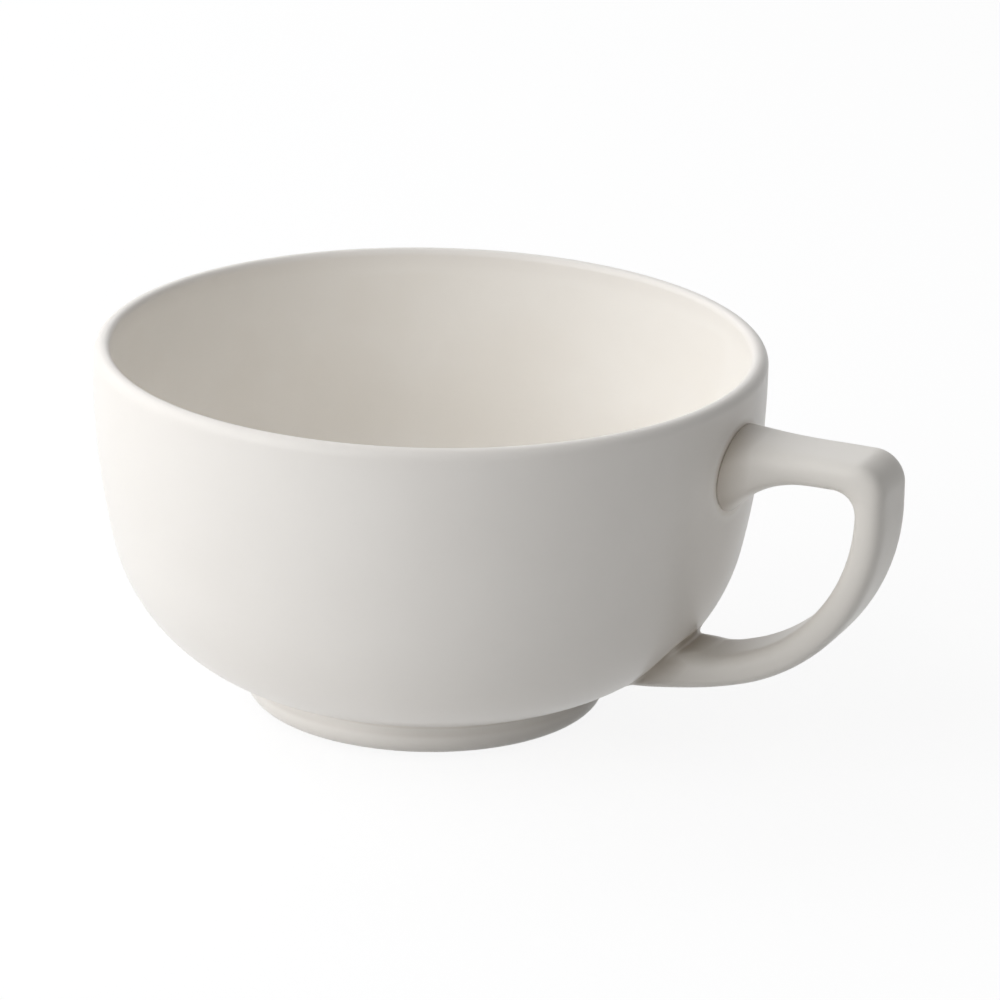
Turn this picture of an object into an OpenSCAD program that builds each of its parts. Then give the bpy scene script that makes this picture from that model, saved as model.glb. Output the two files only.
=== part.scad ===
// Cappuccino cup: a wide, low bowl on a turned foot, with a D-shaped handle stuck on with clay slip.
// Millimetres. The cup's axis is Z, the table is at z = 0 and the handle points along +X.
// The bowl's outline is a chain of arcs that run smoothly into each other. The handle is a
// section carried along a curve, and it swells into trumpet-shaped roots that sit on the bowl.

/* [Bowl] */
// Outer diameter at the rim
rim_d = 100; // [94:1:108]
// Height of the cup
cup_h = 55.8; // [52:0.2:60]
// Wall thickness at the lip
lip_t = 2.6; // [2:0.1:3.4]
// Rounding of the lip on its outer side
lip_outer_r = 1; // [0.6:0.1:1.3]
// Height of the upright band below the rim
band_h = 3.1; // [2.2:0.1:6]
// Radius of the gentle curve of the upper wall
wall_curve_r = 121; // [90:1:160]
// Radius of the belly on the outside
belly_r = 27.7; // [24:0.1:31]
// Radius of the belly on the inside
well_r = 25.5; // [22:0.1:28]
// Height of the belly's lowest outer point above the table
belly_base_h = 4.7; // [4:0.1:6]

/* [Foot] */
// Widest diameter of the foot
foot_d = 54.2; // [50:0.2:58]
// Height of the foot's widest level
foot_widest_h = 2.95; // [2.6:0.05:3.4]
// Rounding of the foot's outer side
foot_round_r = 2.3; // [1.8:0.1:2.6]
// Height of the soft edge at the top of the foot's outer side
foot_edge_h = 3.9; // [3.5:0.1:4.2]
// Depth of the neck above that edge, in from the foot's widest level
neck_inset = 0.6; // [0.3:0.1:1]
// Radius of the cove between the neck and the belly
cove_r = 0.8; // [0.5:0.1:1.2]
// How far the standing edge lies in from the foot's widest level
bevel_w = 3.6; // [2.8:0.1:4.2]
// Width of the standing edge
stand_w = 1.9; // [1.4:0.1:2.4]
// Height of the recess inside the foot
recess_h = 3; // [2:0.1:3.6]
// Rounding where the recess meets the foot
recess_round_r = 1.4; // [0.6:0.1:1.8]
// Thickness of the bottom above the recess
floor_t = 4.4; // [3.4:0.1:5.4]

/* [Handle] */
// How far the handle stands out from the rim
handle_reach = 23.8; // [20:0.2:28]
// Depth of the handle's top face below the rim
handle_drop = 6.5; // [5.6:0.1:8.4]
// Height of the lower arm's centre line above the table
handle_low_h = 11.8; // [11:0.2:14]
// Width of the handle
handle_w = 10.9; // [9:0.1:12]
// Thickness of the handle
handle_t = 4.65; // [3.8:0.05:5.2]
// Rounding of the corner on its outer side
corner_outer_r = 4.7; // [3:0.1:6]
// Rounding of the corner on its inner side
corner_inner_r = 3.4; // [2.4:0.1:4.4]
// Radius of the lower arm, along the middle of the section
lower_arm_r = 60; // [50:1:75]
// Angle at which the grip's curve runs into the lower arm
grip_turn = 72.5; // [66:0.5:74]
// Squareness of the handle's section, where 2 is an ellipse
section_power = 5; // [2.6:0.1:6]

/* [Handle roots] */
// Width of the upper root on the bowl
upper_root_w = 15.2; // [13:0.2:17]
// Height of the upper root on the bowl
upper_root_h = 13.2; // [11:0.2:14.4]
// Drop from the arm's middle down to the middle of the upper root
upper_root_drop = 2.8; // [2:0.1:3.4]
// Length over which the upper root swells
upper_flare_len = 10.4; // [7:0.1:11.4]
// Width of the lower root on the bowl
lower_root_w = 13.2; // [11.2:0.2:15]
// Thickness of the lower root, across the arm
lower_root_t = 6.5; // [5:0.1:7.5]
// Rise of the lower root's middle above the arm's
lower_root_rise = 0.6; // [0:0.1:1]
// Length over which the lower root swells
lower_flare_len = 11.4; // [7:0.1:12]
// Radius of the fillet where the lower root meets the bowl
lower_fillet_r = 0.9; // [0.4:0.1:1.4]
// Thickness of the slip between a root and the bowl
slip_t = 0.5; // [0.3:0.1:0.8]

/* [Hidden] */
// How quickly the roots swell towards the bowl
upper_flare_power = 1.9;
lower_flare_power = 1.2;
// How far the roots' blanks run into the bowl before the bowl's outline cuts them
root_overrun = 3;
// How far the cutting shape stands above the rim
cut_overrun = 1;

// Steps along each arc and around each ring
turn_steps = 180;
belly_steps = 24;
wall_steps = 8;
round_steps = 6;
flare_steps = 10;
arm_steps = 3;
corner_steps = 12;
grip_steps = 16;
lower_steps = 4;
fillet_steps = 3;
section_sides = 28;

rim_r = rim_d / 2;
foot_r = foot_d / 2;
stand_outer_r = foot_r - bevel_w;
stand_inner_r = stand_outer_r - stand_w;
lip_inner_r = lip_t - lip_outer_r;
band_z = cup_h - band_h;
well_z = recess_h + floor_t;

// Outer bowl: the upper wall's arc leaves the upright band and runs into the belly's arc
wall_turn = asin((band_z - belly_base_h - belly_r) / (wall_curve_r - belly_r));
wall_c = [rim_r - wall_curve_r, band_z];
belly_c = wall_c + (wall_curve_r - belly_r) * [cos(wall_turn), -sin(wall_turn)];

// Inner bowl: the same two arcs, drawn inside the wall
inner_wall_r = wall_curve_r - lip_t;
inner_turn = asin((band_z - well_z - well_r) / (inner_wall_r - well_r));
well_c = wall_c + (inner_wall_r - well_r) * [cos(inner_turn), -sin(inner_turn)];

// Foot: a bevel runs up into the rounded side, and a cove runs from the neck into the belly
foot_c = [foot_r - foot_round_r, foot_widest_h];
to_stand = [stand_outer_r, 0] - foot_c;
bevel_angle = atan2(to_stand[1], to_stand[0]) + acos(foot_round_r / norm(to_stand));
edge_angle = asin((foot_edge_h - foot_widest_h) / foot_round_r);
cove_x = foot_r - neck_inset + cove_r;
cove_c = [cove_x, belly_c[1] - sqrt(pow(belly_r + cove_r, 2) - pow(cove_x - belly_c[0], 2))];
belly_cove_angle = atan2(cove_c[1] - belly_c[1], cove_c[0] - belly_c[0]);

// Handle: the middle of its section, in the plane y = 0
arm_z = cup_h - handle_drop - handle_t / 2;
grip_x = rim_r + handle_reach - handle_t / 2;
corner_span = corner_inner_r + handle_t;
corner_c = [grip_x + handle_t / 2 - corner_span, arm_z + handle_t / 2 - corner_span];
corner_offset = corner_span - corner_outer_r;
corner_edge_angle = atan2(corner_span, corner_offset);
grip_r = (corner_c[1] - handle_low_h - lower_arm_r * (1 - sin(grip_turn))) / sin(grip_turn);
grip_c = [grip_x - grip_r, corner_c[1]];
lower_c = grip_c + (grip_r - lower_arm_r) * [cos(grip_turn), -sin(grip_turn)];
upper_wall_x = bowl_r_at(arm_z - upper_root_drop);
upper_start_x = bowl_r_at(arm_z - upper_root_drop - upper_root_h / 2) - root_overrun;
upper_flare_x = min(upper_wall_x + upper_flare_len, corner_c[0]);

// The lower arm meets the belly at lower_wall_angle, and its rings lean by up to belly_lean to lie along the belly
lower_wall_x = bowl_r_at(handle_low_h);
lower_wall_angle = acos((lower_wall_x - lower_c[0]) / lower_arm_r);
belly_lean = atan2(belly_c[1] - handle_low_h, lower_wall_x - belly_c[0]) + 90 - lower_wall_angle;
lower_flare_angle = max(grip_turn, lower_wall_angle - turn_of(lower_flare_len));
lower_fillet_angle = max(lower_flare_angle, lower_wall_angle - turn_of(lower_fillet_r));
lower_end_angle = lower_wall_angle + turn_of(root_overrun);

// Points on an arc about c, from angle a0 to angle a1
function arc(c, r, a0, a1, steps) =
    [for (i = [0 : steps]) c + r * [cos(a0 + (a1 - a0) * i / steps), sin(a0 + (a1 - a0) * i / steps)]];

// Outer radius of the bowl at height z, above the foot
function bowl_r_at(z) =
    z > band_z ? rim_r
    : z > belly_c[1] - belly_r * sin(wall_turn) ? wall_c[0] + sqrt(pow(wall_curve_r, 2) - pow(band_z - z, 2))
    : belly_c[0] + sqrt(pow(belly_r, 2) - pow(belly_c[1] - z, 2));

// Outer side of the bowl from the cove up to the band, moved out by gap
function bowl_side(gap) = concat(
    arc(belly_c, belly_r + gap, belly_cove_angle, -wall_turn, belly_steps),
    arc(wall_c, wall_curve_r + gap, -wall_turn, 0, wall_steps));

// Half of the bowl's cross-section, from the middle of the recess round to the middle of the floor
module bowl_section() {
    recess_c = [stand_inner_r - recess_round_r, recess_h - recess_round_r];
    polygon(concat(
        [[0, recess_h]],
        arc(recess_c, recess_round_r, 90, 0, round_steps),
        [[stand_inner_r, 0], [stand_outer_r, 0]],
        arc(foot_c, foot_round_r, bevel_angle, edge_angle, round_steps),
        arc(cove_c, cove_r, 180, belly_cove_angle + 180, round_steps),
        bowl_side(0),
        arc([rim_r - lip_outer_r, cup_h - lip_outer_r], lip_outer_r, 0, 90, round_steps),
        arc([rim_r - lip_outer_r, cup_h - lip_inner_r], lip_inner_r, 90, 180, round_steps),
        arc(wall_c, inner_wall_r, 0, -inner_turn, wall_steps),
        arc(well_c, well_r, -inner_turn, -90, belly_steps),
        [[0, well_z]]));
}

// Solid inside the bowl's outer side moved out by gap, which gives the roots their seats
module bowl_core(gap) {
    side = bowl_side(gap);
    top_z = cup_h + cut_overrun;
    rotate_extrude($fn = turn_steps)
        polygon(concat([[0, side[0][1]]], side, [[rim_r + gap, top_z], [0, top_z]]));
}

// Degrees that the lower arm turns over a length, and the length that it covers over a turn
function turn_of(len) = len / lower_arm_r * 180 / PI;
function length_of(turn) = turn * lower_arm_r * PI / 180;

// Share of a root's swelling that is left at distance d from the bowl
function swelling(d, len, power) = d <= 0 ? 1 : d >= len ? 0 : pow(1 - d / len, power);

// How far a fillet of radius r stands out at distance d from the bowl
function fillet(d, r) = d >= r ? 0 : r - sqrt(pow(r, 2) - pow(r - max(d, 0), 2));

// A value that grows smoothly from 0 to 1 with x
function smooth_step(x) = x * x * (3 - 2 * x);

// One ring of the handle: middle p, outward direction in degrees, half width, half thickness, power and drop
function ring(p, a, half_w, half_t, power, drop) = [p, a, half_w, half_t, power, drop];

function upper_ring(x) =
    let (s = swelling(x - upper_wall_x, upper_flare_len, upper_flare_power))
    ring([x, arm_z], 90, (handle_w + s * (upper_root_w - handle_w)) / 2,
         (handle_t + s * (upper_root_h - handle_t)) / 2,
         section_power + sqrt(s) * (2 - section_power), s * upper_root_drop);

// Distance from the middle of the corner's inner rounding to its outer side, in direction a
function corner_reach(a) =
    let (mid = corner_offset * (cos(a) + sin(a)))
    a >= corner_edge_angle ? corner_span / sin(a)
    : a <= 90 - corner_edge_angle ? corner_span / cos(a)
    : mid + sqrt(pow(mid, 2) - 2 * pow(corner_offset, 2) + pow(corner_outer_r, 2));

function corner_ring(a) =
    let (reach = corner_reach(a))
    ring(corner_c + (reach + corner_inner_r) / 2 * [cos(a), sin(a)], a, handle_w / 2,
         (reach - corner_inner_r) / 2, section_power, 0);

function grip_ring(a) =
    ring(grip_c + grip_r * [cos(a), -sin(a)], -a, handle_w / 2, handle_t / 2, section_power, 0);

function lower_ring(a) =
    let (d = length_of(lower_wall_angle - a), s = swelling(d, lower_flare_len, lower_flare_power),
         lean = belly_lean * smooth_step(min(max(1 - d / lower_flare_len, 0), 1)),
         edge = fillet(d, lower_fillet_r))
    ring(lower_c + lower_arm_r * [cos(a), -sin(a)], -a - lean,
         (handle_w + s * (lower_root_w - handle_w)) / 2 + edge,
         (handle_t + s * (lower_root_t - handle_t)) / 2 / cos(lean) + edge,
         section_power + s * (2 - section_power) / 2, s * lower_root_rise / cos(lean));

// Values from a to b in equal steps, without the last one
function steps_between(a, b, steps) = [for (i = [0 : steps - 1]) a + (b - a) * i / steps];

upper_rings = [for (x = concat([upper_start_x], steps_between(upper_wall_x - slip_t, upper_flare_x, flare_steps)))
    upper_ring(x)];
arm_rings = upper_flare_x < corner_c[0]
    ? [for (x = steps_between(upper_flare_x, corner_c[0], arm_steps)) upper_ring(x)] : [];
corner_rings = [for (a = steps_between(90, 0, corner_steps)) corner_ring(a)];
grip_rings = [for (a = steps_between(0, grip_turn, grip_steps)) grip_ring(a)];
low_rings = grip_turn < lower_flare_angle
    ? [for (a = steps_between(grip_turn, lower_flare_angle, lower_steps)) lower_ring(a)] : [];
root_rings = [for (a = concat(steps_between(lower_flare_angle, lower_fillet_angle, flare_steps),
    steps_between(lower_fillet_angle, lower_wall_angle, fillet_steps), [lower_wall_angle, lower_end_angle]))
    lower_ring(a)];

// A power of x that keeps the sign of x
function signed_power(x, power) = sign(x) * pow(abs(x), power);

// Corners of one ring: a rounded box or an ellipse, as its power says
function ring_points(r) = [for (i = [0 : section_sides - 1])
    let (t = 360 * (i + 0.5) / section_sides,
         w = r[2] * signed_power(cos(t), 2 / r[4]),
         v = r[3] * signed_power(sin(t), 2 / r[4]) - r[5])
    [r[0][0] + v * cos(r[1]), w, r[0][1] + v * sin(r[1])]];

// Solid skin over a list of rings
module sweep(rings) {
    n = section_sides;
    last = (len(rings) - 1) * n;
    sides = [for (j = [0 : len(rings) - 2], i = [0 : n - 1])
        let (k = (i + 1) % n, a = j * n + i, b = j * n + k)
        each [[a, b + n, b], [a, a + n, b + n]]];
    caps = [[for (i = [0 : n - 1]) i], [for (i = [n - 1 : -1 : 0]) last + i]];
    polyhedron([for (r = rings) each ring_points(r)], concat(sides, caps));
}

// Slip between one root and the bowl
module slip_joint(rings) {
    intersection() {
        sweep(rings);
        difference() {
            bowl_core(slip_t);
            bowl_core(0);
        }
    }
}

module bowl() {
    color("ivory") rotate_extrude($fn = turn_steps) bowl_section();
}

module handle() {
    color("ivory") difference() {
        sweep(concat(upper_rings, arm_rings, corner_rings, grip_rings, low_rings, root_rings));
        bowl_core(slip_t);
    }
}

module upper_slip_joint() {
    color("linen") slip_joint(concat(upper_rings, [upper_ring(upper_flare_x)]));
}

module lower_slip_joint() {
    color("linen") slip_joint(root_rings);
}

bowl();
handle();
upper_slip_joint();
lower_slip_joint();
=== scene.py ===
# Cappuccino cup, dressed over its fixed frame. Metres, the cup's axis on Z, its handle along +X.
import math

import bpy
import numpy as np
from mathutils import Matrix, Vector


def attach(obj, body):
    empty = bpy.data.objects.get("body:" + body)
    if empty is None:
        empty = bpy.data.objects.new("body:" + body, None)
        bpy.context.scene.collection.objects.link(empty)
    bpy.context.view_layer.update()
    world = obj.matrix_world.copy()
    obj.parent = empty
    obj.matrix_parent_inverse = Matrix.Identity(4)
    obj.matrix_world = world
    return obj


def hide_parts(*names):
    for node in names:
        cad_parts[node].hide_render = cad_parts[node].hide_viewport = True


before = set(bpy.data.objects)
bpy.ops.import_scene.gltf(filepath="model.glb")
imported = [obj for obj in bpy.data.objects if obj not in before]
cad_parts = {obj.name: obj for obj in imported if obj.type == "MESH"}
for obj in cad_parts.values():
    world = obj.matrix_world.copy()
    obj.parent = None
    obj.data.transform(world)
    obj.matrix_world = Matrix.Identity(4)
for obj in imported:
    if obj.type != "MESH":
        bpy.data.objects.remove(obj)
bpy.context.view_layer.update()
print("frame loaded, nodes:", ", ".join(sorted(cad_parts)))

mm = 0.001
noiseLow, noiseHigh = 0.3, 0.7  # nearly all of a noise lies between these
nodeLayout = {"across": 190, "down": 210, "perRow": 14}  # how nodes stand in the editor
mixSockets = {"FLOAT": (2, 0), "VECTOR": (4, 1), "RGBA": (6, 2)}  # a Mix node's first input, output


# small helpers for node trees
def add(tree, kind, **settings):
    node = tree.nodes.new(kind)
    down, across = divmod(len(tree.nodes), nodeLayout["perRow"])
    node.location = (nodeLayout["across"] * across, -nodeLayout["down"] * down)
    for key, value in settings.items():
        setattr(node, key, value)
    return node


def newTree(name, kind, inputs, outputs):
    tree = bpy.data.node_groups.new(name, kind)
    for way, sockets in (("INPUT", inputs), ("OUTPUT", outputs)):
        for label, socketType in sockets.items():
            tree.interface.new_socket(label, in_out=way, socket_type="NodeSocket" + socketType)
    return tree, add(tree, "NodeGroupInput").outputs


def feed(node, values):  # plugs sockets in, types plain values
    for key, value in values.items():
        if isinstance(value, bpy.types.NodeSocket):
            node.id_data.links.new(value, node.inputs[key])
        else:
            node.inputs[key].default_value = value
    return node


def calc(tree, operation, *values, clamp=False):
    node = add(tree, "ShaderNodeMath", operation=operation, use_clamp=clamp)
    return feed(node, dict(enumerate(values))).outputs[0]


def vector(tree, operation, *values, **named):
    node = add(tree, "ShaderNodeVectorMath", operation=operation)
    return feed(node, {**dict(enumerate(values)), **named}).outputs["Vector"]


def joined(tree, x, y, z):
    return feed(add(tree, "ShaderNodeCombineXYZ"), {0: x, 1: y, 2: z}).outputs[0]


def mixOf(tree, kind, share, one, two):
    first, out = mixSockets[kind]
    node = add(tree, "ShaderNodeMix", data_type=kind)
    return feed(node, {0: share, first: one, first + 1: two}).outputs[out]


def spread(tree, value, fromLow, fromHigh, toLow=0.0, toHigh=1.0, curve="SMOOTHSTEP"):
    node = add(tree, "ShaderNodeMapRange", interpolation_type=curve)
    return feed(node, {0: value, 1: fromLow, 2: fromHigh, 3: toLow, 4: toHigh}).outputs[0]


def noise(tree, where, scale, dimensions="3D", **named):
    node = add(tree, "ShaderNodeTexNoise", noise_dimensions=dimensions)
    return feed(node, {"Vector": where, "Scale": scale, **named}).outputs["Fac"]


# helpers for the trees that make meshes
def stored(tree, name, kind="FLOAT"):
    node = add(tree, "GeometryNodeInputNamedAttribute", data_type=kind)
    return feed(node, {"Name": name}).outputs[0]


def sampled(tree, geometry, value, index, kind="FLOAT"):
    node = add(tree, "GeometryNodeSampleIndex", data_type=kind, domain="POINT")
    return feed(node, {"Geometry": geometry, "Value": value, "Index": index}).outputs[0]


def pointCount(tree, geometry):
    node = add(tree, "GeometryNodeAttributeDomainSize", component="MESH")
    return feed(node, {"Geometry": geometry}).outputs["Point Count"]


def gridMoved(tree, columns, rows, makeSpots):  # a grid whose points are put where makeSpots says
    grid = feed(add(tree, "GeometryNodeMeshGrid"), {"Vertices X": columns, "Vertices Y": rows})
    index = add(tree, "GeometryNodeInputIndex").outputs[0]
    column = calc(tree, "FLOOR", calc(tree, "DIVIDE", index, rows))
    row = calc(tree, "MODULO", index, rows)
    spot, depth = makeSpots(column, row)
    node = add(tree, "GeometryNodeSetPosition")
    return feed(node, {"Geometry": grid.outputs["Mesh"], "Position": spot}).outputs[0], depth


def dress(tree, given, geometry, depth, weld=None):  # keeps the glaze's depth, which also carries painted light and shade, closes the seams
    node = add(tree, "GeometryNodeStoreNamedAttribute", data_type="FLOAT", domain="POINT")
    made = feed(node, {"Geometry": geometry, "Name": "glazeDepth", "Value": depth}).outputs[0]
    if weld:
        node = add(tree, "GeometryNodeMergeByDistance")
        made = feed(node, {"Geometry": made, "Distance": weld}).outputs[0]
        node = add(tree, "GeometryNodeSetShadeSmooth")
        made = feed(node, {"Geometry": made, "Shade Smooth": True}).outputs[0]
    real = feed(add(tree, "GeometryNodeRealizeInstances"), {"Geometry": made}).outputs[0]
    node = add(tree, "GeometryNodeSetMaterial")
    made = feed(node, {"Geometry": real, "Material": given["Material"]}).outputs[0]
    feed(add(tree, "NodeGroupOutput"), {"Geometry": made})
    return tree


def newObject(name, data):
    made = bpy.data.objects.new(name, data)
    bpy.context.scene.collection.objects.link(made)
    return made


def chain(name, points, attributes):  # a line of points that carries values for a tree to read
    mesh = bpy.data.meshes.new(name)
    edges = [(i, i + 1) for i in range(len(points) - 1)]
    mesh.from_pydata([tuple(p) for p in points], edges, [])
    for key, values in attributes.items():
        values = np.asarray(values, np.float32)
        kind, field = ("FLOAT_VECTOR", "vector") if values.ndim == 2 else ("FLOAT", "value")
        mesh.attributes.new(key, kind, "POINT").data.foreach_set(field, values.ravel())
    return newObject(name, mesh)


def grow(piece, tree, values):  # runs the tree on the piece and keeps the plain mesh
    modifier = piece.modifiers.new(tree.name, "NODES")
    modifier.node_group = tree
    for item in tree.interface.items_tree:
        if item.item_type == "SOCKET" and item.in_out == "INPUT" and item.name in values:
            modifier[item.identifier] = values[item.name]
    graph = bpy.context.evaluated_depsgraph_get()
    mesh = bpy.data.meshes.new_from_object(piece.evaluated_get(graph))
    piece.modifiers.clear()
    piece.data = mesh
    mesh.name = piece.name
    print(f"{piece.name}: {len(mesh.vertices)} points, {len(mesh.polygons)} faces")


# bowl, in millimetres and as in the part's source, but with a rounder lip and softened edges
bowlSizes = {
    "rimRadius": 50.0, "height": 55.8, "lipThickness": 2.6, "lipOuterRound": 1.6,
    "bandHeight": 3.1, "wallRadius": 121.0, "bellyRadius": 27.7, "wellRadius": 25.5,
    "bellyBase": 4.7, "floorThickness": 4.4, "footRadius": 27.1, "footWidest": 2.95,
    "footRound": 2.3, "footEdge": 3.9, "neckInset": 0.6, "coveRadius": 0.8,
    "bevelWidth": 3.6, "standWidth": 1.9, "recessHeight": 3.0, "recessRound": 1.4,
    "standSoftening": 0.35, "edgeSoftening": 0.25,
    # a fired bowl isn't quite round: by how much, and how finely that waves
    "unevenness": 0.05, "unevenScale": 1.3, "seed": 4,
    # glaze: 0 is thin and 1 is a pool, darkened as painted shade in the cove; the inside is set
    # deeper, which paints it paler as painted light; and how far round a spot it changes
    "glazeOutside": 0.15, "litGlazeInside": 0.6, "glazeUnderFoot": 0.4, "glazeAndShadeInCove": 0.8,
    "coveReach": 1.9, "edgeReach": 0.7, "lipReach": 4.2,
    "axisMargin": 1.0,  # points closer to the axis than this aren't moved
    "weld": 0.002,  # points this close are joined
    # steps round the bowl and along each stretch of its outline
    "turnSteps": 288, "recessSteps": 8, "standSteps": 5, "footSteps": 18, "edgeSteps": 4,
    "coveSteps": 10, "bellySteps": 40, "wallSteps": 22, "lipOuterSteps": 9,
    "lipInnerSteps": 12, "floorSteps": 9,
}


def arc(centre, radius, start, end, steps):  # angles in degrees
    angles = np.radians(np.linspace(start, end, steps + 1))
    return [np.array([centre[0] + radius * math.cos(a), centre[1] + radius * math.sin(a)])
            for a in angles]


def flat(start, end, z, steps):
    return [np.array([x, z]) for x in np.linspace(start, end, steps + 1)]


def below(degrees):  # one step out at this angle below the level
    turn = math.radians(degrees)
    return np.array([math.cos(turn), -math.sin(turn)])


def softened(before, corner, after, radius, steps):  # arc that rounds one corner of an outline
    one, two = before - corner, after - corner
    one, two = one / np.linalg.norm(one), two / np.linalg.norm(two)
    half = math.acos(np.clip(one @ two, -1, 1)) / 2
    middle = (one + two) / np.linalg.norm(one + two)
    centre = corner + middle * radius / math.sin(half)
    a = corner + one * radius / math.tan(half) - centre
    b = corner + two * radius / math.tan(half) - centre
    turn = math.atan2(a[0] * b[1] - a[1] * b[0], a @ b)
    start = math.atan2(a[1], a[0])
    angles = [start + turn * i / steps for i in range(steps + 1)]
    return [centre + radius * np.array([math.cos(t), math.sin(t)]) for t in angles]


def smoothStep(x):
    x = np.clip(x, 0, 1)
    return x * x * (3 - 2 * x)


def bowlOutline(s):  # half section, from the middle of the recess to the middle of the floor
    bandZ = s["height"] - s["bandHeight"]
    wellZ = s["recessHeight"] + s["floorThickness"]
    wallCentre = np.array([s["rimRadius"] - s["wallRadius"], bandZ])
    reach = s["wallRadius"] - s["bellyRadius"]
    wallTurn = math.degrees(math.asin((bandZ - s["bellyBase"] - s["bellyRadius"]) / reach))
    bellyCentre = wallCentre + reach * below(wallTurn)
    innerRadius = s["wallRadius"] - s["lipThickness"]
    innerReach = innerRadius - s["wellRadius"]
    innerTurn = math.degrees(math.asin((bandZ - wellZ - s["wellRadius"]) / innerReach))
    wellCentre = wallCentre + innerReach * below(innerTurn)

    footCentre = np.array([s["footRadius"] - s["footRound"], s["footWidest"]])
    outerStand = np.array([s["footRadius"] - s["bevelWidth"], 0.0])
    innerStand = np.array([outerStand[0] - s["standWidth"], 0.0])
    toStand = outerStand - footCentre
    bevelTurn = math.degrees(math.atan2(toStand[1], toStand[0])
                             + math.acos(s["footRound"] / np.linalg.norm(toStand)))
    edgeTurn = math.degrees(math.asin((s["footEdge"] - s["footWidest"]) / s["footRound"]))
    coveX = s["footRadius"] - s["neckInset"] + s["coveRadius"]
    coveReach = s["bellyRadius"] + s["coveRadius"]
    drop = math.sqrt(coveReach ** 2 - (coveX - bellyCentre[0]) ** 2)
    coveCentre = np.array([coveX, bellyCentre[1] - drop])
    toCove = coveCentre - bellyCentre
    bellyTurn = math.degrees(math.atan2(toCove[1], toCove[0]))
    recessCentre = (innerStand[0] - s["recessRound"], s["recessHeight"] - s["recessRound"])

    recess = flat(0, recessCentre[0], s["recessHeight"], s["recessSteps"])[:-1]
    recess += arc(recessCentre, s["recessRound"], 90, 0, s["recessSteps"])
    foot = arc(footCentre, s["footRound"], bevelTurn, edgeTurn, s["footSteps"])
    cove = arc(coveCentre, s["coveRadius"], 180, bellyTurn + 180, s["coveSteps"])
    soft, steps = s["standSoftening"], s["standSteps"]
    outline = recess + softened(recess[-1], innerStand, outerStand, soft, steps)
    outline += softened(innerStand, outerStand, foot[0], soft, steps) + foot[:-1]
    outline += softened(foot[-2], foot[-1], cove[0], s["edgeSoftening"], s["edgeSteps"]) + cove
    outline += arc(bellyCentre, s["bellyRadius"], bellyTurn, -wallTurn, s["bellySteps"])[1:]
    outline += arc(wallCentre, s["wallRadius"], -wallTurn, 0, s["wallSteps"])[1:]
    outerRound, innerRound = s["lipOuterRound"], s["lipThickness"] - s["lipOuterRound"]
    crestX = s["rimRadius"] - outerRound
    outline += arc((crestX, s["height"] - outerRound), outerRound, 0, 90, s["lipOuterSteps"])
    outline += arc((crestX, s["height"] - innerRound), innerRound, 90, 180,
                   s["lipInnerSteps"])[1:]
    outline += arc(wallCentre, innerRadius, 0, -innerTurn, s["wallSteps"])
    outline += arc(wellCentre, s["wellRadius"], -innerTurn, -90, s["bellySteps"])[1:]
    outline += flat(wellCentre[0], 0, wellZ, s["floorSteps"])[1:]
    outline = np.array(outline)

    def near(point, reach):  # 1 at a point of the outline, 0 from this far away
        away = np.linalg.norm(outline - np.array(point), axis=1)
        return smoothStep(1 - away / reach)

    order = np.arange(len(outline))
    inside, under = order > np.argmax(outline[:, 1]), order < len(recess)
    # the inside is set deeper than the outside, which paints its glaze paler: painted light
    depth = np.where(inside, s["litGlazeInside"], s["glazeOutside"])
    crest = (s["rimRadius"] - s["lipThickness"] / 2, s["height"])
    # the cove's deep glaze is darker: glaze pooling together with painted shade; the foot's edge
    # and the lip stay thin
    for target, share in ((s["glazeUnderFoot"], under),
                          (s["glazeAndShadeInCove"], near(coveCentre, s["coveRadius"] + s["coveReach"])),
                          (0.0, near(foot[-1], s["edgeReach"])),
                          (0.0, near(crest, s["lipReach"]))):
        depth = depth + (target - depth) * share
    shape = {"wallCentre": wallCentre, "bellyCentre": bellyCentre, "bandZ": bandZ,
             "joinZ": bellyCentre[1] + s["bellyRadius"] * below(wallTurn)[1]}
    return outline, depth, shape


def turningTree():  # turns an outline round the Z axis, a little uneven as fired clay is
    tree, given = newTree("turnOnWheel", "GeometryNodeTree", {
        "Geometry": "Geometry", "Turn Steps": "Int", "Top Height": "Float", "Seed": "Float",
        "Unevenness": "Float", "Uneven Scale": "Float", "Axis Margin": "Float",
        "Weld": "Float", "Material": "Material"}, {"Geometry": "Geometry"})

    def onWheel(column, row):
        where = add(tree, "GeometryNodeInputPosition").outputs[0]
        sample = sampled(tree, given["Geometry"], where, row, "FLOAT_VECTOR")
        point = feed(add(tree, "ShaderNodeSeparateXYZ"), {0: sample}).outputs
        turn = calc(tree, "DIVIDE", column, given["Turn Steps"])
        angle = calc(tree, "MULTIPLY", turn, 2 * math.pi)
        cosine, sine = calc(tree, "COSINE", angle), calc(tree, "SINE", angle)
        share = calc(tree, "DIVIDE", point["Z"], given["Top Height"])
        wave = noise(tree, joined(tree, cosine, sine, share), given["Uneven Scale"], "4D",
                     W=given["Seed"], Detail=1.0)
        shift = calc(tree, "MULTIPLY", calc(tree, "MULTIPLY", wave, share), given["Unevenness"])
        offAxis = calc(tree, "LESS_THAN", given["Axis Margin"], point["X"])
        inward = calc(tree, "MULTIPLY", shift, offAxis)
        radius = calc(tree, "MAXIMUM", calc(tree, "SUBTRACT", point["X"], inward), 0.0)
        nearLip = calc(tree, "POWER", share, 3)  # the height changes only near the lip
        height = calc(tree, "SUBTRACT", point["Z"], calc(tree, "MULTIPLY", shift, nearLip))
        spot = joined(tree, calc(tree, "MULTIPLY", radius, cosine),
                      calc(tree, "MULTIPLY", radius, sine), height)
        return spot, sampled(tree, given["Geometry"], stored(tree, "glazeDepth"), row)

    columns = calc(tree, "ADD", given["Turn Steps"], 1)
    turned, depth = gridMoved(tree, columns, pointCount(tree, given["Geometry"]), onWheel)
    return dress(tree, given, turned, depth, given["Weld"])


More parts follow.
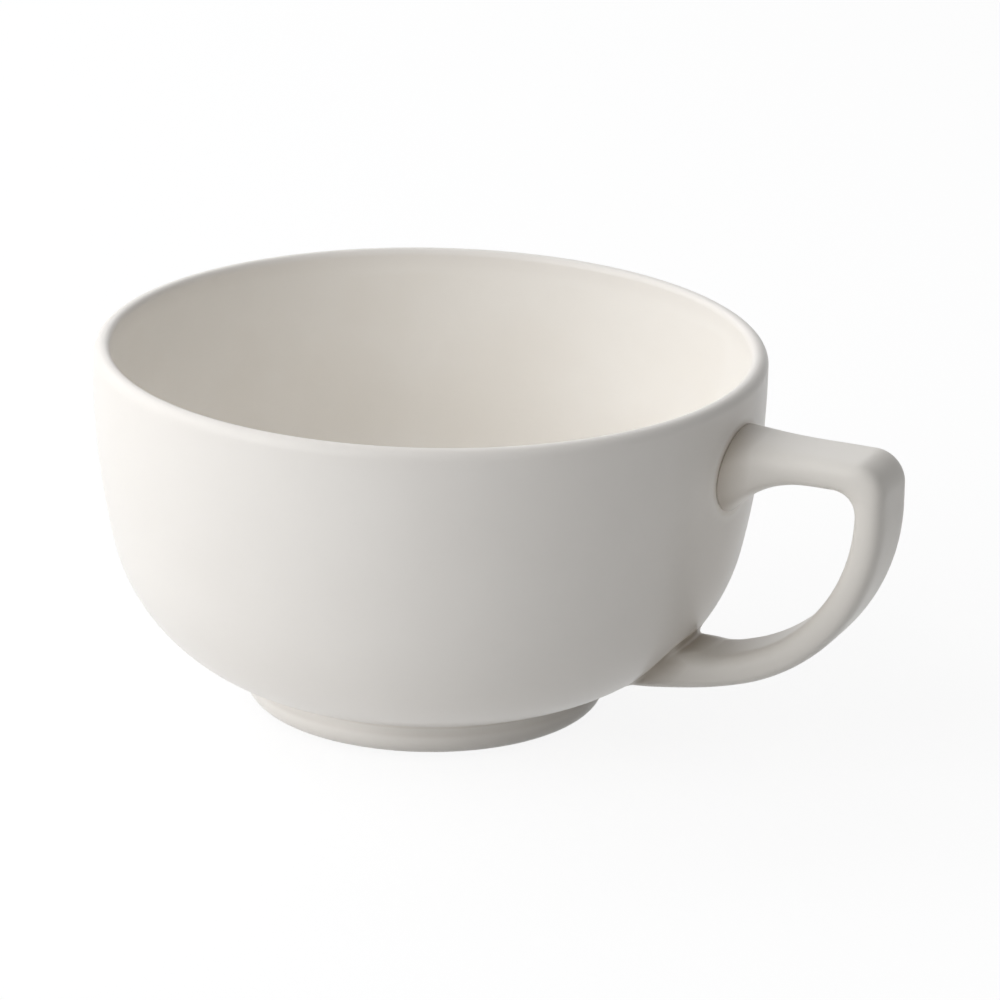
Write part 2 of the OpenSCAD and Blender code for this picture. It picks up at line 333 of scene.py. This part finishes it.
# glaze and bare clay, in metres
glazeLook = {
    # thin is the outside's tone; full is painted paler for the inside of the cup as painted light;
    # the pool colour is glaze pooling in the cove and round the handle, darkened as painted shade
    "thin": (0.893, 0.855, 0.805), "full": (0.962, 0.930, 0.880), "pooledShade": (0.86, 0.805, 0.725),
    "fullDepth": 0.6, "roughness": 0.32, "ior": 1.5, "mirror": 0.2,  # mirror: specular level
    "cloudSize": 0.028, "rippleSize": 0.006, "rippleHeight": 0.00002,
}
# the handle is painted darker and warmer than the bowl: painted shade and warm light reflected from
# the bowl; at its roots the pool colour is much darker, painted shade in the crease
handleShadedLook = dict(glazeLook, thin=(0.82, 0.785, 0.73), full=(0.82, 0.78, 0.722),
                  pooledShade=(0.52, 0.46, 0.39))
# how much the clouds change the glaze's depth and roughness, and its depth the roughness
glazeDrift = {"depth": 0.08, "roughness": 0.015, "byDepth": 0.02}
bareClay = {
    "colour": (0.74, 0.68, 0.60), "roughness": 0.85,
    "below": 0.0008, "wander": 0.0001, "wanderScale": 260.0, "edgeWidth": 0.00025,
}


def glazeGroup():  # tone, roughness and ripple of a satin glaze that is thin on edges; deeper glaze up to Full Depth is painted paler as painted light on the bowl, deeper still it darkens to the pool colour as painted shade
    tree, given = newTree("satinGlaze", "ShaderNodeTree", {
        "Thin Colour": "Color", "Full Colour": "Color", "Pooled Colour": "Color",
        "Full Depth": "Float", "Depth": "Float", "Roughness": "Float",
        "Cloud Size": "Float", "Ripple Size": "Float",
    }, {"Colour": "Color", "Roughness": "Float", "Height": "Float"})
    where = add(tree, "ShaderNodeTexCoord").outputs["Object"]
    cloud = noise(tree, where, calc(tree, "DIVIDE", 1.0, given["Cloud Size"]),
                  Detail=3.0, Roughness=0.5)
    ripple = noise(tree, where, calc(tree, "DIVIDE", 1.0, given["Ripple Size"]),
                   Detail=1.0, Roughness=0.4)
    drift = spread(tree, cloud, noiseLow, noiseHigh, -glazeDrift["depth"], glazeDrift["depth"])
    depth = calc(tree, "ADD", given["Depth"], drift, clamp=True)
    covered = spread(tree, depth, 0.0, given["Full Depth"], curve="LINEAR")
    brimmingAndShade = spread(tree, depth, given["Full Depth"], 1.0, curve="LINEAR")
    tone = mixOf(tree, "RGBA", covered, given["Thin Colour"], given["Full Colour"])
    tone = mixOf(tree, "RGBA", brimmingAndShade, tone, given["Pooled Colour"])
    rough = calc(tree, "ADD", given["Roughness"], spread(
        tree, cloud, noiseLow, noiseHigh, glazeDrift["roughness"], -glazeDrift["roughness"]))
    rough = calc(tree, "SUBTRACT", rough, calc(tree, "MULTIPLY", depth, glazeDrift["byDepth"]))
    feed(add(tree, "NodeGroupOutput"), {"Colour": tone, "Roughness": rough, "Height": ripple})
    return tree


satinGlaze = glazeGroup()


def emptyTree(owner):  # of a material or the world
    owner.use_nodes = True
    owner.node_tree.nodes.clear()
    return owner.node_tree


def glazeMaterial(name, look, clay=None):  # with clay, the standing ring is bare
    material = bpy.data.materials.new(name)
    tree = emptyTree(material)
    depth = add(tree, "ShaderNodeAttribute", attribute_name="glazeDepth").outputs["Fac"]
    glaze = feed(add(tree, "ShaderNodeGroup", node_tree=satinGlaze), {
        "Thin Colour": (*look["thin"], 1), "Full Colour": (*look["full"], 1),
        "Pooled Colour": (*look["pooledShade"], 1), "Full Depth": look["fullDepth"],
        "Depth": depth, "Roughness": look["roughness"],
        "Cloud Size": look["cloudSize"], "Ripple Size": look["rippleSize"]}).outputs
    colour, rough = glaze["Colour"], glaze["Roughness"]
    if clay:
        where = add(tree, "ShaderNodeTexCoord").outputs["Object"]
        height = feed(add(tree, "ShaderNodeSeparateXYZ"), {0: where}).outputs["Z"]
        wander = spread(tree, noise(tree, where, clay["wanderScale"]), noiseLow, noiseHigh,
                        -clay["wander"], clay["wander"])
        edge = calc(tree, "ADD", height, wander)
        bare = spread(tree, edge, clay["below"], clay["below"] - clay["edgeWidth"])
        colour = mixOf(tree, "RGBA", bare, colour, (*clay["colour"], 1))
        rough = mixOf(tree, "FLOAT", bare, rough, clay["roughness"])
    bump = feed(add(tree, "ShaderNodeBump"), {
        "Strength": 1.0, "Distance": look["rippleHeight"], "Height": glaze["Height"]}).outputs[0]
    surface = feed(add(tree, "ShaderNodeBsdfPrincipled"), {
        "Base Color": colour, "Roughness": rough, "IOR": look["ior"],
        "Specular IOR Level": look["mirror"], "Normal": bump}).outputs[0]
    feed(add(tree, "ShaderNodeOutputMaterial"), {"Surface": surface})
    return material


bowlGlaze = glazeMaterial("bowlGlaze", glazeLook, bareClay)
handleGlaze = glazeMaterial("handleGlaze", handleShadedLook)
print("materials made")

outline, bowlDepthAndPaintedLight, bowlShape = bowlOutline(bowlSizes)
bowl = chain("glazedBowl", [(x * mm, 0, z * mm) for x, z in outline], {"glazeDepth": bowlDepthAndPaintedLight})
grow(bowl, turningTree(), {
    "Turn Steps": bowlSizes["turnSteps"], "Top Height": bowlSizes["height"] * mm,
    "Seed": float(bowlSizes["seed"]), "Unevenness": bowlSizes["unevenness"] * mm,
    "Uneven Scale": bowlSizes["unevenScale"], "Axis Margin": bowlSizes["axisMargin"] * mm,
    "Weld": bowlSizes["weld"] * mm, "Material": bowlGlaze})


# handle, in millimetres
handleSizes = {
    "reach": 23.8, "drop": 6.5, "lowHeight": 11.8, "width": 11.6, "thickness": 4.65,
    "cornerOuterRound": 4.7, "cornerInnerRound": 3.4, "lowerArmRadius": 60.0, "gripTurn": 72.5,
    # powers of the section: flat broad faces and rounded sides
    "flatness": 6.5, "sidePower": 2.2, "sides": 96,
    "upperWidth": 15.2, "upperHeight": 13.2, "upperDrop": 2.8,
    "upperFlare": 15.0, "upperPower": 2.9,
    "lowerWidth": 13.2, "lowerThickness": 6.5, "lowerRise": 0.6,
    "lowerFlare": 11.4, "lowerPower": 1.2,
    # shares of a flare: a ring starts to follow the bowl here, and does so over this length
    "upperHoldFrom": 0.59, "upperHoldOver": 0.52, "lowerHoldFrom": 0.95, "lowerHoldOver": 0.85,
    "lowerFillet": 0.9, "topFillet": 1.4, "seamRound": 0.35, "sunk": 1.2,
    # rings of each stretch, and how they crowd towards the bowl
    "flareRings": 32, "armRings": 8, "cornerRings": 40, "gripRings": 44, "lowRings": 4,
    "upperCrowding": 1.35, "lowerCrowding": 1.3,
    # glaze: 0 is thin and 1 is pooling glaze, which near the roots is dark painted shade
    "glazeOnArm": 0.3, "glazeAndShadeAtRoot": 0.95, "glazeOnEdges": 0.05,
    "poolAndShadeOnBowl": 2.4, "poolAndShadeOnHandle": 9.0, "poolFade": 1.2,
    # how strongly and how narrowly the glaze thins along the edges
    "edgeGain": 1.4, "edgeNarrowness": 8.0, "plainFlatness": 2.0, "edgedFlatness": 6.0,
    # a ray that looks for the bowl starts this far back and runs this far
    "lookBack": 20.0, "lookAhead": 60.0,
    "weld": 0.001,  # points this close are joined
}
ellipse = 2  # the power of the section that makes it an ellipse
filletShares = (0.03, 0.09, 0.18, 0.3, 0.45, 0.62, 0.8, 1.0)  # rings over a small rounding


def bowlRadiusAt(z):
    s, shape = bowlSizes, bowlShape
    if z > shape["bandZ"]:
        return s["rimRadius"]
    centre, radius = ((shape["wallCentre"], s["wallRadius"]) if z > shape["joinZ"]
                      else (shape["bellyCentre"], s["bellyRadius"]))
    return centre[0] + math.sqrt(radius ** 2 - (centre[1] - z) ** 2)


def fillet(gap, radius):  # how far a rounding stands out at this distance from the wall
    if gap >= radius:
        return 0.0
    return radius - math.sqrt(max(radius ** 2 - (radius - max(gap, 0.0)) ** 2, 0.0))


def swelling(gap, length, power):
    return 1.0 if gap <= 0 else 0.0 if gap >= length else (1 - gap / length) ** power


def holding(gap, length, holdFrom, holdOver):  # 1 where a ring follows the bowl, 0 where free
    return smoothStep((holdFrom * length - gap) / (holdOver * length))


def handleRings(h):  # from the upper root along the arm, corner, grip and lower arm
    armZ = bowlSizes["height"] - h["drop"] - h["thickness"] / 2
    gripX = bowlSizes["rimRadius"] + h["reach"] - h["thickness"] / 2
    span = h["cornerInnerRound"] + h["thickness"]
    corner = np.array([gripX + h["thickness"] / 2 - span, armZ + h["thickness"] / 2 - span])
    offset = span - h["cornerOuterRound"]
    gripTurn = math.radians(h["gripTurn"])
    bend = h["lowerArmRadius"]
    gripRadius = (corner[1] - h["lowHeight"] - bend * (1 - math.sin(gripTurn))) / math.sin(gripTurn)
    grip = np.array([gripX - gripRadius, corner[1]])
    lower = grip + (gripRadius - bend) * below(h["gripTurn"])
    upperWall = bowlRadiusAt(armZ - h["upperDrop"])
    lowerWall = bowlRadiusAt(h["lowHeight"])
    up, inward = (0, 0, 1), (-1.0, 0.0, 0.0)
    rings = []

    def ring(middle, outward, toBowl, width, thickness, swell=0.0, drop=0.0, hold=0.0, gap=0.0,
             pole=False):
        half = 0.0 if pole else 0.5
        rings.append({
            "middle": middle, "outward": outward, "toBowl": toBowl,
            "halfWidth": width * half, "halfThickness": thickness * half,
            "flatness": h["flatness"] + swell * (ellipse - h["flatness"]),
            "sidePower": h["sidePower"] + swell * (ellipse - h["sidePower"]),
            "drop": drop, "hold": hold, "gap": gap})

    def facing(t):
        return math.cos(t), 0, -math.sin(t)

    def around(centre, radius, t):
        return centre[0] + radius * math.cos(t), 0, centre[1] - radius * math.sin(t)

    def upperRing(gap, pole=False):  # by its distance from the wall
        flare = h["upperFlare"]
        swell = swelling(gap, flare, h["upperPower"])
        extra = -2 * fillet(gap, h["seamRound"])
        ring((upperWall + gap, 0, armZ), up, inward,
             h["width"] + swell * (h["upperWidth"] - h["width"]) + extra,
             h["thickness"] + swell * (h["upperHeight"] - h["thickness"]) + extra,
             math.sqrt(swell), swell * h["upperDrop"],
             holding(gap, flare, h["upperHoldFrom"], h["upperHoldOver"]), gap, pole)

    upperRing(-h["sunk"], pole=True)
    for gap in [-h["sunk"], -h["sunk"] / 2, 0.0] + [h["seamRound"] * q for q in filletShares]:
        upperRing(gap)
    crowded = np.linspace(0, 1, h["flareRings"] + 1)[1:] ** h["upperCrowding"]
    for gap in h["seamRound"] + (h["upperFlare"] - h["seamRound"]) * crowded:
        upperRing(gap)
    for x in np.linspace(upperWall + h["upperFlare"], corner[0], h["armRings"] + 1)[1:-1]:
        ring((x, 0, armZ), up, inward, h["width"], h["thickness"])

    # the corner, on rays from the middle of its inner rounding
    for degrees in np.linspace(90, 0, h["cornerRings"] + 1):
        t = math.radians(degrees)
        middle = offset * (math.cos(t) + math.sin(t))
        if degrees >= math.degrees(math.atan2(span, offset)):
            reach = span / math.sin(t)
        elif degrees <= math.degrees(math.atan2(offset, span)):
            reach = span / math.cos(t)
        else:
            reach = middle + math.sqrt(middle ** 2 - 2 * offset ** 2 + h["cornerOuterRound"] ** 2)
        out = (reach + h["cornerInnerRound"]) / 2
        ring(around(corner, out, -t), facing(-t), inward, h["width"],
             reach - h["cornerInnerRound"])
    for degrees in np.linspace(0, h["gripTurn"], h["gripRings"] + 1)[1:]:
        t = math.radians(degrees)
        ring(around(grip, gripRadius, t), facing(t), inward, h["width"], h["thickness"])

    # the lower arm and root, whose rings lean to lie along the belly
    wallTurn = math.acos((lowerWall - lower[0]) / bend)
    toBelly = (-math.sin(wallTurn), 0.0, -math.cos(wallTurn))
    bellyX, bellyZ = bowlShape["bellyCentre"]
    lean = math.atan2(bellyZ - h["lowHeight"], lowerWall - bellyX) + math.pi / 2 - wallTurn

    def lowerRing(gap, pole=False):
        t, flare = wallTurn - gap / bend, h["lowerFlare"]
        swell = swelling(gap, flare, h["lowerPower"])
        extra = 2 * fillet(gap, h["lowerFillet"])
        rise = fillet(gap, h["topFillet"])  # the fillet runs further up on the inner face
        tip = lean * smoothStep(1 - gap / flare)
        thickness = h["thickness"] + swell * (h["lowerThickness"] - h["thickness"])
        ring(around(lower, bend, t), facing(t + tip), toBelly,
             h["width"] + swell * (h["lowerWidth"] - h["width"]) + extra,
             thickness / math.cos(tip) + extra + rise,
             swell / 2, swell * h["lowerRise"] / math.cos(tip) + rise / 2,
             holding(gap, flare, h["lowerHoldFrom"], h["lowerHoldOver"]), gap, pole)

    armLength = (wallTurn - gripTurn) * bend
    for gap in np.linspace(armLength, h["lowerFlare"], h["lowRings"] + 1)[1:-1]:
        lowerRing(gap)
    crowded = np.linspace(1, 0, h["flareRings"] + 1)[:-1] ** h["lowerCrowding"]
    for gap in h["lowerFillet"] + (h["lowerFlare"] - h["lowerFillet"]) * crowded:
        lowerRing(gap)
    for share in reversed((0.0, *filletShares)):
        lowerRing(h["lowerFillet"] * share)
    for gap in (-h["sunk"] / 2, -h["sunk"]):
        lowerRing(gap)
    lowerRing(-h["sunk"], pole=True)
    return rings


def strapTree():  # sweeps a rounded section over the rings and seats its roots on the bowl
    h = handleSizes
    tree, given = newTree("pullHandle", "GeometryNodeTree", {
        "Geometry": "Geometry", "Bowl": "Object", "Sides": "Int", "Edge Glaze": "Float",
        "Look Back": "Float", "Look Ahead": "Float", "Weld": "Float",
        "Material": "Material"}, {"Geometry": "Geometry"})

    def onRing(ringNumber, side):
        def ofRing(name, kind="FLOAT"):  # the value that the ring of this point carries
            return sampled(tree, given["Geometry"], stored(tree, name, kind), ringNumber, kind)

        where = add(tree, "GeometryNodeInputPosition").outputs[0]
        middle = sampled(tree, given["Geometry"], where, ringNumber, "FLOAT_VECTOR")
        outward, toBowl = ofRing("outward", "FLOAT_VECTOR"), ofRing("toBowl", "FLOAT_VECTOR")
        flatness, sidePower = ofRing("flatness"), ofRing("sidePower")
        turn = calc(tree, "DIVIDE", side, given["Sides"])
        angle = calc(tree, "MULTIPLY", turn, 2 * math.pi)

        # section: share across to the power of flatness and share out to sidePower make 1
        shareAcross = calc(tree, "COSINE", angle)
        offMiddle = calc(tree, "ABSOLUTE", shareAcross)
        rest = calc(tree, "SUBTRACT", 1.0, calc(tree, "POWER", offMiddle, flatness))
        shareOut = calc(tree, "POWER", calc(tree, "MAXIMUM", rest, 0.0),
                        calc(tree, "DIVIDE", 1.0, sidePower))
        outOrIn = calc(tree, "SIGN", calc(tree, "SINE", angle))
        across = calc(tree, "MULTIPLY", ofRing("halfWidth"), shareAcross)
        out = calc(tree, "MULTIPLY", ofRing("halfThickness"),
                   calc(tree, "MULTIPLY", shareOut, outOrIn))
        out = calc(tree, "SUBTRACT", out, ofRing("drop"))
        sideways = joined(tree, 0.0, across, 0.0)
        upright = vector(tree, "SCALE", outward, Scale=out)
        plain = vector(tree, "ADD", middle, vector(tree, "ADD", sideways, upright))

        # a ring near the bowl is carried on to it, and keeps its gap
        start = vector(tree, "SCALE", toBowl, Scale=given["Look Back"])
        bowlMesh = feed(add(tree, "GeometryNodeObjectInfo"), {"Object": given["Bowl"]})
        hit = feed(add(tree, "GeometryNodeRaycast"), {
            "Target Geometry": bowlMesh.outputs["Geometry"], "Ray Direction": toBowl,
            "Source Position": vector(tree, "SUBTRACT", plain, start),
            "Ray Length": given["Look Ahead"]}).outputs
        gap = vector(tree, "SCALE", toBowl, Scale=ofRing("gap"))
        seated = vector(tree, "SUBTRACT", hit["Hit Position"], gap)
        hold = calc(tree, "MULTIPLY", ofRing("hold"), hit["Is Hit"])
        spot = mixOf(tree, "VECTOR", hold, plain, seated)

        # the glaze is thin along the section's corners, where it has any
        atCorner = calc(tree, "MULTIPLY", offMiddle, shareOut)
        edge = calc(tree, "POWER", calc(tree, "MULTIPLY", atCorner, h["edgeGain"]),
                    h["edgeNarrowness"])
        edged = spread(tree, flatness, h["plainFlatness"], h["edgedFlatness"])
        thin = calc(tree, "MULTIPLY", edge, edged)
        return spot, mixOf(tree, "FLOAT", thin, ofRing("glazeDepth"), given["Edge Glaze"])

    sides = calc(tree, "ADD", given["Sides"], 1)
    swept, depth = gridMoved(tree, pointCount(tree, given["Geometry"]), sides, onRing)
    return dress(tree, given, swept, depth, given["Weld"])


rings = handleRings(handleSizes)


def column(name, unit=1.0):  # one value of every ring
    return np.array([ring[name] for ring in rings]) * unit


# painted shade: the handle's glaze darkens towards its roots, over this many millimetres from the
# bowl
rootGap = np.where(column("hold") > 0, column("gap"), handleSizes["poolAndShadeOnHandle"])
pooledShade = np.clip(1 - rootGap / handleSizes["poolAndShadeOnHandle"], 0, 1) ** handleSizes["poolFade"]
glazeAdded = handleSizes["glazeAndShadeAtRoot"] - handleSizes["glazeOnArm"]
handle = chain("glazedHandle", column("middle", mm), {
    **{name: column(name) for name in ("outward", "toBowl", "flatness", "sidePower", "hold")},
    **{name: column(name, mm) for name in ("halfWidth", "halfThickness", "drop", "gap")},
    "glazeDepth": handleSizes["glazeOnArm"] + pooledShade * glazeAdded})
grow(handle, strapTree(), {
    "Bowl": bowl, "Sides": handleSizes["sides"], "Edge Glaze": handleSizes["glazeOnEdges"],
    "Look Back": handleSizes["lookBack"] * mm, "Look Ahead": handleSizes["lookAhead"] * mm,
    "Weld": handleSizes["weld"] * mm, "Material": handleGlaze})


def poolAndShadeTree():  # glaze also pools on the bowl close round the handle's roots, and is darkened there as painted shade in the crease
    tree, given = newTree("poolAtRoots", "GeometryNodeTree", {
        "Geometry": "Geometry", "Handle": "Object", "Reach": "Float", "Pooled": "Float",
        "Material": "Material"}, {"Geometry": "Geometry"})
    handleMesh = feed(add(tree, "GeometryNodeObjectInfo"), {"Object": given["Handle"]})
    away = feed(add(tree, "GeometryNodeProximity", target_element="FACES"),
                {0: handleMesh.outputs["Geometry"]}).outputs["Distance"]
    close = spread(tree, away, given["Reach"], 0.0)
    depth = mixOf(tree, "FLOAT", close, stored(tree, "glazeDepth"), given["Pooled"])
    return dress(tree, given, given["Geometry"], depth)


grow(bowl, poolAndShadeTree(), {
    "Handle": handle, "Reach": handleSizes["poolAndShadeOnBowl"] * mm,
    "Pooled": handleSizes["glazeAndShadeAtRoot"], "Material": bowlGlaze})


def volumeOf(piece):
    mesh = piece.data
    mesh.calc_loop_triangles()
    points = np.array([v.co for v in mesh.vertices])
    t = points[np.array([t.vertices for t in mesh.loop_triangles])]
    return float(np.einsum("ij,ij->i", t[:, 0], np.cross(t[:, 1], t[:, 2])).sum() / 6)


for piece in (bowl, handle):
    if volumeOf(piece) < 0:
        piece.data.flip_normals()
        print(piece.name, "faces turned outwards")
    print(piece.name, "volume in cubic mm:", round(volumeOf(piece) / mm ** 3, 1))

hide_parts("bowl")
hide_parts("handle", "upper_slip_joint", "lower_slip_joint")
for piece in (bowl, handle):
    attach(piece, "root")
print("pieces ride on the frame")

# floor, light and camera
studio = {
    "floorSize": 6.0, "floorDrop": 0.00002,
    "floorShown": 0.90, "floorLit": 0.13, "floorBounce": 0.84, "ambient": 0.055, "backdrop": 1.0,
    "lampSize": 0.8, "lampDistance": 0.9, "lampColour": (0.975, 0.985, 1.0),
    "lampTarget": (0, 0, 0.03),
    # soft lamps: degrees round from the handle, rise in degrees, watts
    "lamps": {"lampBack": (124, 40, 1.12), "lampBehind": (164, 40, 2.7),
              "lampLeft": (204, 40, 2.65), "lampFront": (244, 40, 1.95),
              "lampLow": (244, 12, 3.6), "lampRight": (4, 40, 1.2)},
}


def showsRoom(tree):  # 1 for what the camera, a reflection or clear glass looks at
    path = add(tree, "ShaderNodeLightPath").outputs
    reflected = calc(tree, "MAXIMUM", path["Is Glossy Ray"], path["Is Transmission Ray"])
    return calc(tree, "MAXIMUM", path["Is Camera Ray"], reflected)


def makeFloor(s):
    half, low = s["floorSize"] / 2, -s["floorDrop"]
    mesh = bpy.data.meshes.new("floor")
    corners = [(-half, -half, low), (half, -half, low), (half, half, low), (-half, half, low)]
    mesh.from_pydata(corners, [], [(0, 1, 2, 3)])
    paint = bpy.data.materials.new("floorPaint")
    tree = emptyTree(paint)
    glow = feed(add(tree, "ShaderNodeEmission"), {"Strength": s["floorShown"]}).outputs[0]
    lit, bounce = (feed(add(tree, "ShaderNodeBsdfDiffuse"), {
        "Color": (s[key], s[key], s[key], 1)}).outputs[0] for key in ("floorLit", "floorBounce"))
    shown = feed(add(tree, "ShaderNodeAddShader"), {0: glow, 1: lit}).outputs[0]
    mixed = feed(add(tree, "ShaderNodeMixShader"), {0: showsRoom(tree), 1: bounce, 2: shown})
    feed(add(tree, "ShaderNodeOutputMaterial"), {"Surface": mixed.outputs[0]})
    mesh.materials.append(paint)
    return newObject("floor", mesh)


def makeRoom(s):
    world = bpy.data.worlds.new("studioRoom")
    tree = emptyTree(world)
    strength = mixOf(tree, "FLOAT", showsRoom(tree), s["ambient"], s["backdrop"])
    room = feed(add(tree, "ShaderNodeBackground"), {"Color": (1, 1, 1, 1), "Strength": strength})
    feed(add(tree, "ShaderNodeOutputWorld"), {"Surface": room.outputs[0]})
    return world


def softLamp(name, around, rise, watts, s):
    lamp = bpy.data.lights.new(name, "AREA")
    lamp.shape, lamp.size, lamp.energy, lamp.color = "SQUARE", s["lampSize"], watts, s["lampColour"]
    a, e = math.radians(around), math.radians(rise)
    away = Vector((math.cos(a) * math.cos(e), math.sin(a) * math.cos(e), math.sin(e)))
    placed = newObject(name, lamp)
    placed.location = Vector(s["lampTarget"]) + away * s["lampDistance"]
    placed.rotation_euler = away.to_track_quat("Z", "Y").to_euler()


floor = makeFloor(studio)
bpy.context.scene.world = makeRoom(studio)
for name, (around, rise, watts) in studio["lamps"].items():
    softLamp(name, around, rise, watts, studio)

# angles in degrees; the target is seen at targetPixel in a frame of 1000 by 1000
lens = {
    "distance": 0.8022, "height": 19.684, "side": 24.853, "roll": -1.024,
    "target": (0.0, 0.0, 0.02792), "targetPixel": (428.16, 519.57), "frame": 1000,
    "focalPixels": 5356.2, "sensor": 36.0, "nearest": 0.05, "farthest": 20.0,
}


def makeCamera(c):
    a, e, r = (math.radians(c[key]) for key in ("side", "height", "roll"))
    back = np.array([math.sin(a) * math.cos(e), -math.cos(a) * math.cos(e), math.sin(e)])
    right = np.array([math.cos(a), math.sin(a), 0.0])
    up = np.cross(right, -back)
    level = np.array([right, up, -back])
    spin = np.array([[math.cos(r), -math.sin(r), 0], [math.sin(r), math.cos(r), 0], [0, 0, 1]])
    u = (c["targetPixel"][0] - c["frame"] / 2) / c["focalPixels"]
    v = -(c["targetPixel"][1] - c["frame"] / 2) / c["focalPixels"]
    aim = Vector((u, v, 1)).normalized()
    swing = np.array(Vector((0, 0, 1)).rotation_difference(aim).to_matrix())
    right, up, forward = swing @ spin @ level
    data = bpy.data.cameras.new("photoView")
    data.sensor_width = c["sensor"]
    data.lens = c["focalPixels"] * c["sensor"] / c["frame"]
    data.clip_start, data.clip_end = c["nearest"], c["farthest"]
    camera = newObject("photoView", data)
    place = np.array(c["target"]) + back * c["distance"]
    camera.matrix_world = Matrix([
        (right[0], up[0], -forward[0], place[0]), (right[1], up[1], -forward[1], place[1]),
        (right[2], up[2], -forward[2], place[2]), (0, 0, 0, 1)])
    return camera


bpy.context.scene.camera = makeCamera(lens)
bpy.context.scene.view_settings.view_transform = "Standard"
print("studio set up")

bpy.context.view_layer.update()
